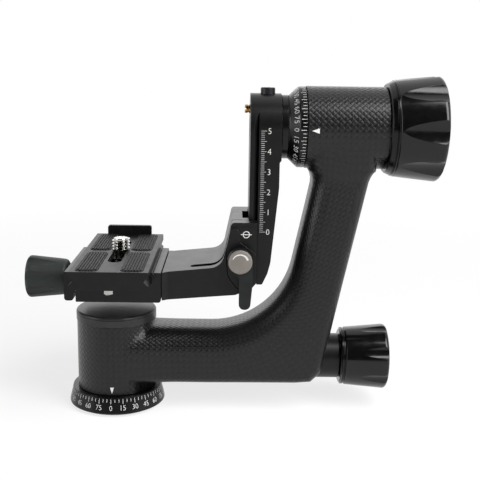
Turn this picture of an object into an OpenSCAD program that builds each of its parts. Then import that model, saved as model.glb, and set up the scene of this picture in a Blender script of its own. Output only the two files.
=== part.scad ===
// Gimbal tripod head: a panning base, a carbon arm with two tube ends, and a tilting cradle
// that carries a height-adjustable quick-release clamp. Millimetres, +Z up, the origin is at
// the centre of the base's underside, +X points to the lock knobs, -Y to the graduations.

/* [Panning base] */
// Widest radius of the graduated base dial
dial_r = 25; // [24:0.5:27]
// Height of the base dial
dial_h = 9.65; // [9.2:0.05:9.8]
// Radius of the hole for the 3/8 inch tripod screw
thread_r = 4.76; // [4.6:0.02:4.9]
/* [Carbon arm] */
// Outer radius of both tube ends
tube_r = 20.5; // [20.2:0.1:21]
// Height of the vertical tube's upper rim
tube_top = 46; // [46:0.1:46.4]
// Height of the arm's flat top above the ground plane
arm_top = 43; // [41:0.5:44]
// Height of the arm's underside
arm_bottom = 15; // [14:0.5:16]
// Half of the arm's depth along Y
arm_half = 17; // [15:0.5:18]
// Radius of the elbow's inner curve
elbow_r = 42.5; // [38:0.5:46]
// Lean of the riser from the vertical
riser_lean = 11.7; // [10:0.1:13]
// Thickness of the riser
riser_t = 26.8; // [25:0.1:29]
// Height of the tilt axis
tilt_h = 146.85; // [146:0.05:148]
// Left end of the upper tube
tilt_x0 = 96.3; // [96:0.1:96.5]
// Right end of the upper tube
tilt_x1 = 136; // [135.8:0.1:136.2]
/* [Lock knobs] */
// Height of the pan lock's axis
pan_lock_h = 26; // [25.5:0.1:26.5]
// Flutes round the tilt knob and the clamp knob
flutes = 8; // [6:1:9]
// Flutes round the pan knob
pan_flutes = 7; // [6:1:8]
// Rim radius of the tilt knob
tilt_knob_r = 26.9; // [26.4:0.1:27.5]
// Rim radius of the pan knob
pan_knob_r = 17.2; // [16.8:0.1:17.6]
// Rim radius of the clamp knob
clamp_knob_r = 11.5; // [11:0.1:12]
/* [Cradle] */
// Radius of the hub, and half the width of the swing plate below it
hub_r = 16.6; // [16.5:0.1:17]
// Height of the swing plate's lower end
swing_bottom = 68.85; // [68:0.05:69.5]
// Height of the carriage's top
carriage_top = 101.7; // [101:0.1:102]
// Half of the carriage's depth along Y
carriage_half = 23.5; // [22.5:0.5:24.5]
/* [Quick release] */
// Half of the clamp's length along Y
clamp_half = 28; // [26:0.5:30]
// Width of the dovetail plate
plate_w = 38; // [37.6:0.1:38.4]
// Near end of the plate
plate_y0 = -42.3; // [-46:0.1:-41]
// Far end of the plate
plate_y1 = 48; // [47:0.5:52]
// Height of the plate's top face
plate_top = 80.75; // [80.6:0.05:81]
// Ribs on each rubber pad
pad_ribs = 7; // [5:1:8]

/* [Hidden] */
$fn = 96;
dial_top_r = dial_r - 1.8;
dial_foot_r = dial_r - 2.8;
flange_r = 13.9;          // spindle flange sunk in the dial
drum_r = 12.5;            // drum that the pan brake grips
seat_r = 8.5;             // shaft radius at every bearing
race_in = 11.2;           // outside of each inner ring
race_out = 13.4;          // inside of each outer ring
bearing_r = 16;           // outside of each bearing
bearing_w = 6;
bore_r = 17.5;            // bore of both carbon tubes
cap_r = tube_r + 0.3;     // ring and cap on the vertical tube
fit = 0.02;               // radial clearance of a close fit
pan_bearings = [12, 36];  // lower faces
tilt_bearings = [97, 128.2];
boss_r = 11.7;
boss_x0 = 103.6;
boss_x1 = 117.5;
rod_r = 4;
shoe_r = 6;
arm_z = (arm_top + arm_bottom) / 2;
elbow_z = arm_top + elbow_r;
riser_dir = [sin(riser_lean), cos(riser_lean)];
riser_foot = [94.5, 90.9];    // a point on the riser's inner face
elbow_x = riser_foot.x + (elbow_z - riser_foot.y) * tan(riser_lean) - elbow_r / cos(riser_lean);
plate_x = 1.9;                // centre of the plate across its width
rail_x0 = 68.5;               // face of the dovetail rail
rail_x1 = 72.8;               // root of the dovetail rail
axis_x = 64.3;                // cam lever's axis
axis_z = 84;
clamp_axis_z = 67.5;          // clamp screw's axis
clamp_floor = 71.6;
clamp_x0 = -16.2;
clamp_x1 = 25.6;
jaw_top = 77.1;
plate_bottom = 71.7;
lip_h = 2.1;                  // height of the plate's edge below the dovetail flank
neck_u = 2.2;                 // how far each dovetail flank leans in

// ---- helpers -------------------------------------------------------------------------

function unit(v) = v / norm(v);

// One corner b between a and c, rounded with radius r
function corner(a, b, c, r, n = 6) =
    r <= 0 ? [b] :
    let (u = unit(a - b), w = unit(c - b), h = acos(u * w) / 2,
         m = b + unit(u + w) * r / sin(h), s = b + u * r / tan(h) - m, e = b + w * r / tan(h) - m,
         a0 = atan2(s.y, s.x), turn = (atan2(e.y, e.x) - a0 + 540) % 360 - 180)
    [for (i = [0:n]) m + r * [cos(a0 + turn * i / n), sin(a0 + turn * i / n)]];

// Outline through [x, y, corner radius] points
function rounded(p) = let (k = len(p)) [
    for (i = [0:k - 1])
        let (a = p[(i + k - 1) % k], b = p[i], c = p[(i + 1) % k])
        each corner([a.x, a.y], [b.x, b.y], [c.x, c.y], b.z)
];

// Mirrors a list of [x, y, r] points about the line x = m
function mirrored(p, m) = [for (i = [len(p) - 1:-1:0]) [2 * m - p[i].x, p[i].y, p[i].z]];

// Extrudes an X-Z outline from y0 to y1
module along_y(y0, y1) {
    translate([0, y1, 0]) rotate([90, 0, 0]) linear_extrude(y1 - y0) children();
}

// Extrudes a Y-Z outline from x0 to x1
module along_x(x0, x1) {
    translate([x0, 0, 0]) rotate([90, 0, 90]) linear_extrude(x1 - x0) children();
}

// Extrudes an X-Y outline from z0 to z1
module along_z(z0, z1) {
    translate([0, 0, z0]) linear_extrude(z1 - z0) children();
}

// Turned piece about a line along X at height h, outline in [radius, x]
module turned_x(h, p) {
    translate([0, 0, h]) rotate([0, 90, 0]) rotate_extrude() polygon(p);
}

// Turned piece about Z, outline in [radius, z]
module turned_z(p) {
    rotate_extrude() polygon(p);
}

module rod_x(x0, x1, r, y = 0, z = 0) {
    translate([x0, y, z]) rotate([0, 90, 0]) cylinder(r = r, h = x1 - x0);
}

module rod_y(y0, y1, r, x = 0, z = 0) {
    translate([x, y1, z]) rotate([90, 0, 0]) cylinder(r = r, h = y1 - y0);
}

module rod_z(z0, z1, r, x = 0, y = 0) {
    translate([x, y, z0]) cylinder(r = r, h = z1 - z0);
}

// Hexagonal socket along +Z from the origin, across-flats size a
module hex_socket(a, depth) {
    cylinder(r = a / sqrt(3), h = depth, $fn = 6);
}

module ring_z(z0, z1, r0, r1) {
    turned_z([[r0, z0], [r1, z0], [r1, z1], [r0, z1]]);
}

module ring_x(x0, x1, r0, r1, h) {
    turned_x(h, [[r0, x0], [r1, x0], [r1, x1], [r0, x1]]);
}

// Bearing rings have a small chamfer on their outer corners
module race(x0, r0, r1) {
    c = 0.4;
    polygon([[r0 + c, x0], [r1 - c, x0], [r1, x0 + c], [r1, x0 + bearing_w - c],
             [r1 - c, x0 + bearing_w], [r0 + c, x0 + bearing_w], [r0, x0 + bearing_w - c], [r0, x0 + c]]);
}

// Conical knob about X with a rounded rim; w is -1 when its rim faces -X
module knob_body(h, x0, x1, r0, r1, rim, lead) {
    w = x1 > x0 ? 1 : -1;
    p = rounded([[0, x0, 0], [r0 - lead, x0, 0], [r0, x0 + w * lead, 0], [r1, x1, rim], [0, x1, 0]]);
    turned_x(h, p);
}

// Flutes parallel to the knob's axis; the taper turns each into a pointed arch
module knob_flutes(h, xa, xb, floor_r, cut_r, phase, count = flutes) {
    for (i = [0:count - 1]) {
        a = phase + i * 360 / count;
        d = floor_r + cut_r;
        rod_x(min(xa, xb), max(xa, xb), cut_r, -d * cos(a), h + d * sin(a));
    }
}

// ---- panning base -------------------------------------------------------------------

screw_circle = 10.3;

module base_dial() {
    color("#202022") difference() {
        turned_z([[6.6, 0], [dial_foot_r, 0], [dial_r, 1.5], [dial_r, 2.1], [dial_top_r, dial_h],
                  [flange_r + 0.3, dial_h], [flange_r + 0.3, 4], [6.6, 4]]);
        for (i = [0:3]) rotate(i * 90 + 45) translate([screw_circle, 0, -1]) {
            cylinder(r = 1.7, h = 6);
            cylinder(r = 3.5, h = 1.2);
            translate([0, 0, 1.2]) cylinder(r1 = 3.5, r2 = 1.7, h = 1.8);
        }
    }
}

module thread_insert() {
    color("#b9bcc0") difference() {
        turned_z([[0, 0.2], [6, 0.2], [6.5, 0.7], [6.5, 10.9], [0, 10.9]]);
        rod_z(-1, 10, thread_r);
    }
}

module base_screws() {
    color("#2b2b2d") for (i = [0:3]) rotate(i * 90 + 45) translate([screw_circle, 0, 0]) difference() {
        turned_z([[0, 0.3], [3.3, 0.3], [1.55, 2.05], [1.55, 8.6], [0, 8.6]]);
        translate([0, 0, 0.2]) hex_socket(2, 1.6);
    }
}

module pan_spindle() {
    color("#9a9da1") difference() {
        turned_z([[0, 4.05], [flange_r, 4.05], [flange_r, dial_h], [11, dial_h + 0.6], [11, 12],
                  [seat_r, 12], [seat_r, 41.8], [7.8, 42], [7.8, 46.2], [7.2, 46.8], [0, 46.8]]);
        rod_z(3, 11, 6.6);
        for (i = [0:3]) rotate(i * 90 + 45) translate([screw_circle, 0, 3]) cylinder(r = 1.6, h = 5.8);
        translate([0, 0, 44]) hex_socket(6, 4);
    }
}

module brake_drum() {
    color("#6f7276") turned_z([[seat_r + fit, 18.3], [drum_r - 0.6, 18.3], [drum_r, 18.9], [drum_r, 35.1],
                               [drum_r - 0.6, 35.7], [seat_r + fit, 35.7]]);
}

module spindle_nut() {
    color("#8d9094") difference() {
        ring_z(42.05, 45.9, 7.9, 12.4);
        for (i = [0:3]) rotate(i * 90) translate([11.2, -1.2, 44.2]) cube([3, 2.4, 3]);
    }
}

module pan_inner_rings() {
    color("#c4c6c9") for (z = pan_bearings) rotate_extrude() race(z, seat_r + fit, race_in);
}

// ---- carbon arm ---------------------------------------------------------------------

corner_steps = 6;

// One cross-section: rounded rectangle of length l and half depth h, in [along, across].
// It starts at the outer face, whose corners have radius ro; the inner face has ri.
function arm_ring(l, h, ro, ri) = [
    for (q = [0:3], i = [0:corner_steps])
        let (inner = q == 1 || q == 2, r = inner ? ri : ro,
             cu = inner ? l - r : r, cv = (q < 2 ? 1 : -1) * (h - r),
             a = 180 - 90 * q - 90 * i / corner_steps)
        [cu + r * cos(a), cv + r * sin(a)]
];

// Distance from the elbow's centre to the outer face at turn angle t: the underside, the
// riser's back and the chamfer between them
function elbow_out(t) =
    let (end = 90 - riser_lean)
    min((elbow_z - arm_bottom) / cos(t), (elbow_r + riser_t) / cos(end - t), 87.2 / cos(39.4 - t));

// Stations [inner point, outer point, half depth, outer radius, inner radius]
turn_steps = 17;
function level_station(x, h) = [[x, arm_top], [x, arm_bottom], h, 4.5, 11];
function turn_station(i) =
    let (t = (90 - riser_lean) * i / turn_steps, d = [sin(t), -cos(t)], c = [elbow_x, elbow_z],
         s = i / turn_steps)
    [c + d * elbow_r, c + d * elbow_out(t), arm_half - s, 4.5 + 1.5 * s, 11 - s];

// Level cut through the riser at height z, flared by fi inward and fo outward
riser_w = riser_t / cos(riser_lean);
function riser_station(z, h, fi, fo) =
    let (x = riser_foot.x + (min(z, tilt_h - tube_r) - riser_foot.y) * tan(riser_lean))
    [[x - fi, z], [x + riser_w + fo, z], h, 6, 10];

// Half depths that run out tangent to each tube, as [x, half depth] and
// [height above the tilt axis, half depth, inward flare, outward flare]
root_blend = [[3, 20.1], [6, 19.8], [9, 19.4], [13, 18.9], [17, 18.35], [21, 17.9], [26, 17.4], [32, 17]];
head_blend = [[-28.5, 16, 0.1, 0], [-26, 16.1, 0.5, 0], [-23.5, 16.3, 1.6, 0.4], [-21.6, 16.6, 3, 1.1],
              [-20.4, 16.8, 4.2, 2.1], [-17, 17.3, 4.2, 2.2], [-13, 18, 4.2, 2.2], [-9, 18.75, 4.2, 2.2],
              [-5, 19.5, 4.2, 2.2], [-2, 19.9, 4.2, 2.2]];
stations = concat(
    [for (b = root_blend) level_station(b.x, min(b.y, arm_half + b.y - 17))],
    [for (i = [0:turn_steps]) turn_station(i)],
    [riser_station(92, arm_half - 1, 0, 0), riser_station(106, arm_half - 1, 0, 0)],
    [for (b = head_blend) riser_station(tilt_h + b[0], min(b[1], arm_half + b[1] - 17), b[2], b[3])]
);

// Skins the stations into one closed solid
module arm_skin() {
    n = 4 * (corner_steps + 1);
    m = len(stations);
    points = [
        for (s = stations)
            let (d = unit(s[0] - s[1]), l = norm(s[0] - s[1]))
            for (p = arm_ring(l, s[2], s[3], s[4])) [s[1].x + d.x * p.x, p.y, s[1].y + d.y * p.x]
    ];
    sides = [
        for (i = [0:m - 2], j = [0:n - 1])
            let (a = i * n + j, b = i * n + (j + 1) % n, c = a + n, e = b + n)
            each [[a, c, b], [b, c, e]]
    ];
    ends = [[for (j = [0:n - 1]) j], [for (j = [n - 1:-1:0]) (m - 1) * n + j]];
    polyhedron(points, concat(sides, ends), convexity = 6);
}

module arm_shell() {
    color("#1d1e20") difference() {
        union() {
            arm_skin();
            rod_z(10, tube_top, tube_r);
            rod_x(tilt_x0, tilt_x1, tube_r, 0, tilt_h);
        }
        rod_z(0, 60, bore_r);
        rod_x(90, 142, bore_r, 0, tilt_h);
        rod_x(10, 23.4, shoe_r + 0.2, 0, pan_lock_h);
        rod_x(20, boss_x0 + 1, rod_r + 0.6, 0, pan_lock_h);
        rod_x(boss_x0, 130, boss_r + fit, 0, pan_lock_h);
    }
}

module pan_housing() {
    r0 = bearing_r + fit;
    color("#a9acb0") difference() {
        turned_z([[r0, 10.6], [bore_r - fit, 10.6], [bore_r - fit, tube_top - 0.3], [r0, tube_top - 0.3],
                  [r0, 35.9], [14, 35.9], [14, 18.1], [r0, 18.1]]);
        rod_x(10, 20, shoe_r + 0.2, 0, pan_lock_h);
    }
}

module pan_outer_rings() {
    color("#c4c6c9") for (z = pan_bearings) rotate_extrude() race(z, race_out, bearing_r);
}

module cap_ring() {
    c = 0.25;
    color("#2a2a2c") turned_z([[bore_r, tube_top + 0.05], [cap_r - c, tube_top + 0.05],
        [cap_r, tube_top + 0.05 + c], [cap_r, 49.9 - c], [cap_r - c, 49.9], [bore_r, 49.9]]);
}

module top_cap() {
    // a tight elliptical shoulder, then a shallow crown
    reach = 1.5;
    rise = 1.3;
    crown = 1.1;
    inner = cap_r - reach;
    color("#26272a") turned_z(concat([[0, 50], [cap_r, 50]], [
        for (i = [0:5]) [cap_r - reach * (1 - cos(i * 18)), 50.2 + rise * sin(i * 18)]
    ], [
        for (i = [1:6]) [inner * (1 - i / 6), 50.2 + rise + crown * (1 - pow(1 - i / 6, 2))]
    ]));
    color("#26272a") ring_z(tube_top + 0.2, 50.2, 15.4, bore_r - 0.05);
}

module pan_boss() {
    c = 0.5;
    color("#232427") difference() {
        turned_x(pan_lock_h, [[0, boss_x0], [boss_r, boss_x0], [boss_r, boss_x1 - c],
                              [boss_r - c, boss_x1], [0, boss_x1]]);
        rod_x(100, 120, rod_r + 0.05, 0, pan_lock_h);
    }
}

module tilt_housing() {
    r0 = bearing_r + fit;
    color("#a9acb0") turned_x(tilt_h, [
        [r0, 96.6], [bore_r - fit, 96.6], [bore_r - fit, 141.2], [r0, 141.2], [r0, 128.1],
        [14, 128.1], [14, 103.1], [r0, 103.1]
    ]);
}

module tilt_outer_rings() {
    color("#c4c6c9") for (x = tilt_bearings)
        translate([0, 0, tilt_h]) rotate([0, 90, 0]) rotate_extrude() race(x, race_out, bearing_r);
}

// ---- pan lock -----------------------------------------------------------------------

module pan_knob() {
    color("#1b1c1f") difference() {
        knob_body(pan_lock_h, 120.2, 142.6, 15.25, pan_knob_r, 2, 0.5);
        knob_flutes(pan_lock_h, 121, 145, pan_knob_r - 1.17, 7, 24.2, pan_flutes);
        rod_x(119, 137, rod_r + fit, 0, pan_lock_h);
        rod_x(141.3, 145, 11.2, 0, pan_lock_h);
    }
}

module pan_knob_collar() {
    color("#242528") turned_x(pan_lock_h, [
        [rod_r + fit, 117.7], [13.8, 117.7], [14.3, 118.2], [15, 118.4], [15, 119.4],
        [14.5, 119.7], [14.5, 120.2], [rod_r + fit, 120.2]
    ]);
}

module pan_knob_cap() {
    color("#2e2f32") turned_x(pan_lock_h, [
        [0, 141.3], [11.1, 141.3], [11.1, 141.9], [10.6, 142.3], [0, 142.3]
    ]);
}

module pan_lock_rod() {
    color("#9a9da1") turned_x(pan_lock_h, [
        [0, 16.8], [2.6, 16.8], [3, 17.2], [3, 23.6], [rod_r, 24], [rod_r, 136.6], [0, 136.6]
    ]);
}

module brake_shoe() {
    color("#b98e4a") difference() {
        rod_x(12, 20.7, shoe_r, 0, pan_lock_h);
        rod_z(10, 45, drum_r + 0.5);
        rod_x(15.1, 22, 3.06, 0, pan_lock_h);
    }
}

// ---- tilt lock ----------------------------------------------------------------------

module tilt_knob() {
    color("#1b1c1f") difference() {
        knob_body(tilt_h, 140.4, 163.8, 24.2, tilt_knob_r, 2.6, 0.4);
        knob_flutes(tilt_h, 141, 166, tilt_knob_r - 2.1, 12.7, 1);
        difference() {
            rod_x(139, 152, bore_r + 0.05, 0, tilt_h);
            ring_x(140.8, 153, 8, 14.5, tilt_h);
        }
        rod_x(162.4, 166, 19.2, 0, tilt_h);
    }
}

module tilt_knob_collar() {
    color("#242528") turned_x(tilt_h, [
        [bore_r + 0.05, 136.4], [21.9, 136.4], [22.5, 136.9], [23.5, 139], [23.2, 139.3],
        [23.2, 139.6], [23.9, 139.7], [23.9, 140.4], [bore_r + 0.05, 140.4]
    ]);
}

module tilt_knob_cap() {
    color("#2e2f32") turned_x(tilt_h, [
        [0, 162.4], [19.1, 162.4], [19.1, 163.1], [18.5, 163.5], [0, 163.5]
    ]);
}

module thrust_ring() {
    color("#b98e4a") ring_x(136.9, 138.6, 9.5, bearing_r - 0.1, tilt_h);
}

// ---- cradle -------------------------------------------------------------------------

shaft_r = 8;

module tilt_shaft() {
    color("#9a9da1") difference() {
        turned_x(tilt_h, [[0, 73.1], [shaft_r - 0.5, 73.1], [shaft_r, 73.6], [shaft_r, 96.2],
                          [seat_r, 96.3], [seat_r, 134.4], [14, 134.4], [14, 136.5], [0, 136.5]]);
        rod_x(72, 90, 3, 0, tilt_h);
        // seat for the tip of the hub's clamp screw
        rod_z(tilt_h + 7.3, tilt_h + 9, 2.2, 77.2);
    }
}

module tilt_inner_rings() {
    color("#c4c6c9") for (x = tilt_bearings)
        translate([0, 0, tilt_h]) rotate([0, 90, 0]) rotate_extrude() race(x, seat_r + fit, race_in);
}

module tilt_dial() {
    color("#202124") turned_x(tilt_h, [
        [shaft_r + fit, 87.4], [15.8, 87.4], [16.1, 87.9], [19.9, 92.1], [20.2, 92.6],
        [20.2, 95.8], [20, 96], [shaft_r + fit, 96]
    ]);
}

module hub_neck() {
    color("#242528") turned_x(tilt_h, [
        [shaft_r + fit, 83.95], [15.6, 83.95], [15.9, 84.25], [15.9, 87.1], [15.6, 87.35],
        [shaft_r + fit, 87.35]
    ]);
}

// The rail's cross-section, grown by g on every face that a jaw touches
module rail_section(g) {
    y0 = hub_r + g;
    y1 = hub_r - 2.4 + g;
    x0 = rail_x0 + 1.9 + g * 0.4;
    polygon([[rail_x0 - g, -y0], [x0, -y0], [x0 + 2.4, -y1], [x0 + 6, -y1], [x0 + 6, y1],
             [x0 + 2.4, y1], [x0, y0], [rail_x0 - g, y0]]);
}

// Both grooves run out where the hub curves away from them
module rail_grooves() {
    for (s = [-1, 1]) along_z(swing_bottom - 1, tilt_h + hub_r)
        polygon([[rail_x0 + 1.9, s * (hub_r + 0.5)], [rail_x0 + 1.9, s * hub_r],
                 [rail_x1, s * (hub_r - 2.4)], [rail_x1, s * (hub_r + 0.5)]]);
}

module swing_plate() {
    color("#222326") difference() {
        intersection() {
            along_y(-20, 20) polygon(rounded([
                [rail_x0, swing_bottom, 0.4], [75.6, swing_bottom, 1], [78.2, 74.5, 6],
                [79.6, 80, 14], [83.1, 118, 20], [83.1, tilt_h - hub_r + 0.3, 0],
                [83.9, tilt_h - hub_r + 1.2, 0.3], [83.9, tilt_h + 20, 0], [rail_x0, tilt_h + 20, 0]
            ]));
            union() {
                rod_x(60, 90, hub_r, 0, tilt_h);
                translate([60, -hub_r, 60]) cube([30, 2 * hub_r, tilt_h - 60]);
            }
        }
        rail_grooves();
        rod_x(73, 90, shaft_r + fit, 0, tilt_h);
        rod_x(60, 71.6, 5.5, 0, tilt_h);
        rod_x(60, 75, 3.2, 0, tilt_h);
        for (z = stop_heights) rod_x(60, 72, 1.6, 0, z);
        rod_z(tilt_h + 5, tilt_h + 20, 2.1, 77.2);
        rod_z(163, tilt_h + 20, 4.2, 77.2);
    }
}

module hub_screw() {
    color("#141416") translate([77.2, 0, 0]) difference() {
        turned_z([[0, tilt_h + 7.4], [2, tilt_h + 7.4], [2, 163.05], [3.65, 163.05], [3.65, 165.9],
                  [3.3, 166.3], [0, 166.3]]);
        translate([0, 0, 164.2]) hex_socket(3, 3);
    }
}

module shaft_screw() {
    color("#2b2b2d") difference() {
        turned_x(tilt_h, [[0, 68.8], [4.2, 68.8], [5.3, 70.2], [5.3, 71.5], [2.95, 71.55],
                          [2.95, 88], [0, 88]]);
        translate([68, 0, tilt_h]) rotate([0, 90, 0]) hex_socket(4, 2.6);
    }
}

// Brass screws that keep the carriage on the rail: one above it, one below
stop_heights = [155.6, 73];

module stop_screws() {
    color("#b8966a") for (z = stop_heights) difference() {
        turned_x(z, [[0, 65.8], [1.9, 65.8], [2.15, 66.1], [2.15, 67.1], [1.75, 67.3], [1.75, 67.6],
                     [2.15, 67.8], [2.15, 68.45], [1.55, 68.5], [1.55, 71.8], [0, 71.8]]);
        translate([65, -3, z - 0.35]) cube([1.5, 6, 0.7]);
    }
}

// ---- carriage -----------------------------------------------------------------------

// Side view of the L-bracket: a slightly rising arm, a tight fillet and a tapered upright
carriage_outline = [
    [25.8, 62.2, 0.5], [62.3, 65.2, 3], [70.5, 68.9, 1], [72.5, 71.3, 0.5],
    [72.5, carriage_top, 0.5], [59.9, carriage_top, 1.8], [56.6, 86, 20], [55.7, 79.4, 7.5],
    [25.8, 76.4, 0.4]
];
jaw_outline = [
    [57.45, 88.5, 0.5], [58.4, 75, 6], [63, 68.6, 5], [67.5, 67.8, 1], [70.5, 68.9, 1],
    [72.5, 71.3, 0.5], [72.5, carriage_top, 0.5], [59.9, carriage_top, 1.8]
];
jaw_split = -15.4;    // face between the rail jaw and the carriage
pin_spots = [[61.3, 94], [61.6, 76.5]];

module carriage() {
    h = carriage_half;
    color("#232427") difference() {
        union() {
            intersection() {
                along_y(-30, 30) polygon(rounded(carriage_outline));
                along_z(50, 120) polygon(rounded([
                    [25.8, -h - 1.5, 0], [28.4, -h, 4], [80, -h, 0],
                    [80, h, 0], [28.4, h, 4], [25.8, h + 1.5, 0]
                ]));
            }
            // tongue under the clamp
            translate([-4, -18, 62.25]) cube([30.5, 36, 4.75]);
        }
        // near corner taken by the rail jaw
        along_y(-40, jaw_split) polygon(rounded([
            [57.1, 88.5, 0.5], [58.1, 74.9, 6], [62.8, 68.3, 5], [67.5, 67.4, 0], [68, 60, 0],
            [80, 60, 0], [80, 110, 0], [56, 110, 0], [57.1, 98, 0]
        ]));
        translate([rail_x0 - 0.15, -40, 60]) cube([10, 40, 50]);
        along_z(50, 110) rail_section(0.15);
        // stop pockets, open at the top and at the bottom
        translate([65.4, -10, carriage_top - 4]) cube([10, 20, 10]);
        translate([64.2, -10, 60]) cube([10, 20, 15.2]);
        // key slot along the arm's top near the front edge
        translate([41.9, -18, 73.6]) cube([15, 4.8, 20]);
        rod_z(73.6, 90, 2.4, 41.9, -15.6);
        // shadow line behind the jaw
        translate([55, jaw_split - 1, carriage_top - 0.7]) cube([10, 1.6, 2]);
        rod_y(-30, 9, 3.1, axis_x, axis_z);
        for (p = pin_spots) rod_y(-30, -7, 1.55, p.x, p.y);
        for (y = [-12, 12]) rod_z(60, 68, 2.5, 8, y);
    }
}

module rail_jaw() {
    color("#1f2023") difference() {
        along_y(-carriage_half, jaw_split - 0.2) polygon(rounded(jaw_outline));
        along_z(50, 110) rail_section(0.15);
        // recessed panel round the index mark, with a slanted lower edge
        along_y(-30, -carriage_half + 0.8) polygon(rounded([
            [64.1, 91.8, 0], [64.1, 98.9, 3], [50, 98.9, 0], [50, 100.1, 0], [80, 100.1, 0],
            [80, 80.2, 0]
        ]));
        rod_y(-30, -10, 3.1, axis_x, axis_z);
        for (p = pin_spots) rod_y(-22, -10, 1.5, p.x, p.y);
    }
}

module jaw_pins() {
    color("#b9bcc0") for (p = pin_spots) rod_y(-21.8, -8, 1.5, p.x, p.y);
}

module cam_lever() {
    tip = [66.7, 62.7];
    color("#26272a") difference() {
        union() {
            rod_y(-31.4, -27.2, 6.2, axis_x, axis_z);
            rod_y(-27.3, -carriage_half - 0.1, 5.2, axis_x, axis_z);
            along_y(-31, -27.4) polygon(rounded([
                [58.6, 81.5, 0], [63.9, 75.5, 3], [63.9, tip.y - 2.9, 2.7], [69.4, tip.y - 2.9, 2.7],
                [70.6, 74, 0], [70.4, axis_z, 0]
            ]));
        }
        rod_y(-30, -20, 3, axis_x, axis_z);
    }
}

module lever_cap() {
    color("#8f8983") translate([axis_x, -31.4, axis_z]) rotate([90, 0, 0])
        turned_z([[0, 0], [5.85, 0], [5.85, 1.2], [5.5, 1.6], [0, 1.6]]);
}

module lever_stud() {
    color("#9a9da1") rod_y(-29.9, 8, 3, axis_x, axis_z);
}

// ---- quick-release clamp ------------------------------------------------------------

bolt_x = 8;

module clamp_body() {
    x1 = plate_x + plate_w / 2 + 0.2;
    flank_z = plate_bottom + lip_h;
    color("#232427") difference() {
        along_y(-clamp_half, clamp_half) polygon(rounded([
            [clamp_x0, 62, 0.4], [clamp_x1, 62, 1.3], [clamp_x1, jaw_top, 0.5], [x1 - neck_u, jaw_top, 0.2],
            [x1 - neck_u, flank_z + neck_u, 0], [x1, flank_z, 0], [x1, clamp_floor, 0],
            [clamp_x0, clamp_floor, 0.2]
        ]));
        // pocket for the bracket's tongue
        translate([-4.3, -18.3, 61]) cube([40, 36.6, 6.2]);
        // shadow line along the fixed jaw
        translate([21.7, -clamp_half - 1, jaw_top - 0.9]) cube([0.5, 2 * clamp_half + 2, 3]);
        rod_x(-18, -5.3, 3.05, 0, clamp_axis_z);
        for (y = [-22.5, 22.5]) rod_x(-18, -4.6, 2.05, y, clamp_axis_z);
        for (y = [-12, 12]) {
            rod_z(60, 75, 2.7, bolt_x, y);
            translate([bolt_x, y, clamp_floor - 2.6]) cylinder(r1 = 2.7, r2 = 5.3, h = 2.61);
        }
    }
}

module clamp_bolts() {
    color("#2b2b2d") for (y = [-12, 12]) translate([bolt_x, y, 0]) difference() {
        turned_z([[0, 63], [2.45, 63], [2.45, 69.1], [4.9, 71.5], [0, 71.5]]);
        translate([0, 0, 69.4]) hex_socket(3, 3);
    }
}

module movable_jaw() {
    x0 = plate_x - plate_w / 2 - 0.2;
    flank_z = plate_bottom + lip_h;
    color("#232427") difference() {
        along_y(-clamp_half, clamp_half) polygon(rounded([
            [-21.8, 62.6, 1.4], [-17.2, 62.6, 1.4], [-17.2, clamp_floor - 0.2, 0],
            [x0, clamp_floor - 0.2, 0], [x0, flank_z, 0], [x0 + neck_u, flank_z + neck_u, 0],
            [x0 + neck_u, jaw_top, 0.2], [-21.8, jaw_top, 0.8]
        ]));
        rod_x(-30, -10, 3.1, 0, clamp_axis_z);
        for (y = [-22.5, 22.5]) rod_x(-21, -10, 2, y, clamp_axis_z);
    }
}

module jaw_rods() {
    color("#b9bcc0") for (y = [-22.5, 22.5]) rod_x(-20.9, -6, 2, y, clamp_axis_z);
}

knob_face = -45.5;    // outer end of the clamp knob
knob_recess = -45;    // floor of the recess that holds its cap

module qr_knob() {
    color("#2c3230") difference() {
        turned_x(clamp_axis_z, rounded([
            [0, knob_face, 0], [clamp_knob_r, knob_face, 2.4], [9.05, -24.4, 2.2], [0, -24.4, 0]
        ]));
        knob_flutes(clamp_axis_z, -50, -30, clamp_knob_r - 1.9, 3.6, 14.1);
        rod_x(-44, -22, 3, 0, clamp_axis_z);
        rod_x(-50, knob_recess, 6.2, 0, clamp_axis_z);
    }
}

module qr_knob_cap() {
    color("#222624") turned_x(clamp_axis_z, [
        [0, knob_recess], [6.1, knob_recess], [6.1, knob_face], [5.6, knob_face - 0.3], [0, knob_face - 0.3]
    ]);
}

// Clamp screw with the shoulder that bears on the movable jaw
module qr_screw() {
    color("#1c1d1f") turned_x(clamp_axis_z, [
        [0, -43.9], [2.97, -43.9], [2.97, -24.3], [5, -24.3], [5, -21.95], [2.97, -21.95], [2.97, -7],
        [2.5, -6.5], [0, -6.5]
    ]);
}

// ---- dovetail plate -----------------------------------------------------------------

slot_y0 = -22;
slot_y1 = 28;
screw_y = 7;
slab_bottom = 77.3;

// Half profile of the plate as [x from the centre, z, radius], from the middle bottom out
function plate_half() = let (w = plate_w / 2) [
    [w, plate_bottom, 1.5], [w, plate_bottom + lip_h, 0], [w - neck_u, plate_bottom + lip_h + neck_u, 0],
    [w - neck_u, slab_bottom, 0], [w, slab_bottom, 0.3], [w, plate_top, 0.4]
];

// Long slot with round ends
module slot_shape(half_w, y0, y1) {
    for (y = [y0 + half_w, y1 - half_w]) translate([plate_x, y]) circle(r = half_w);
    translate([plate_x - half_w, y0 + half_w]) square([2 * half_w, y1 - y0 - 2 * half_w]);
}

pad_in = 5.4;
pad_out = 16.2;
pad_spans = [[-40.2, -0.6], [5, 45]];

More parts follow.
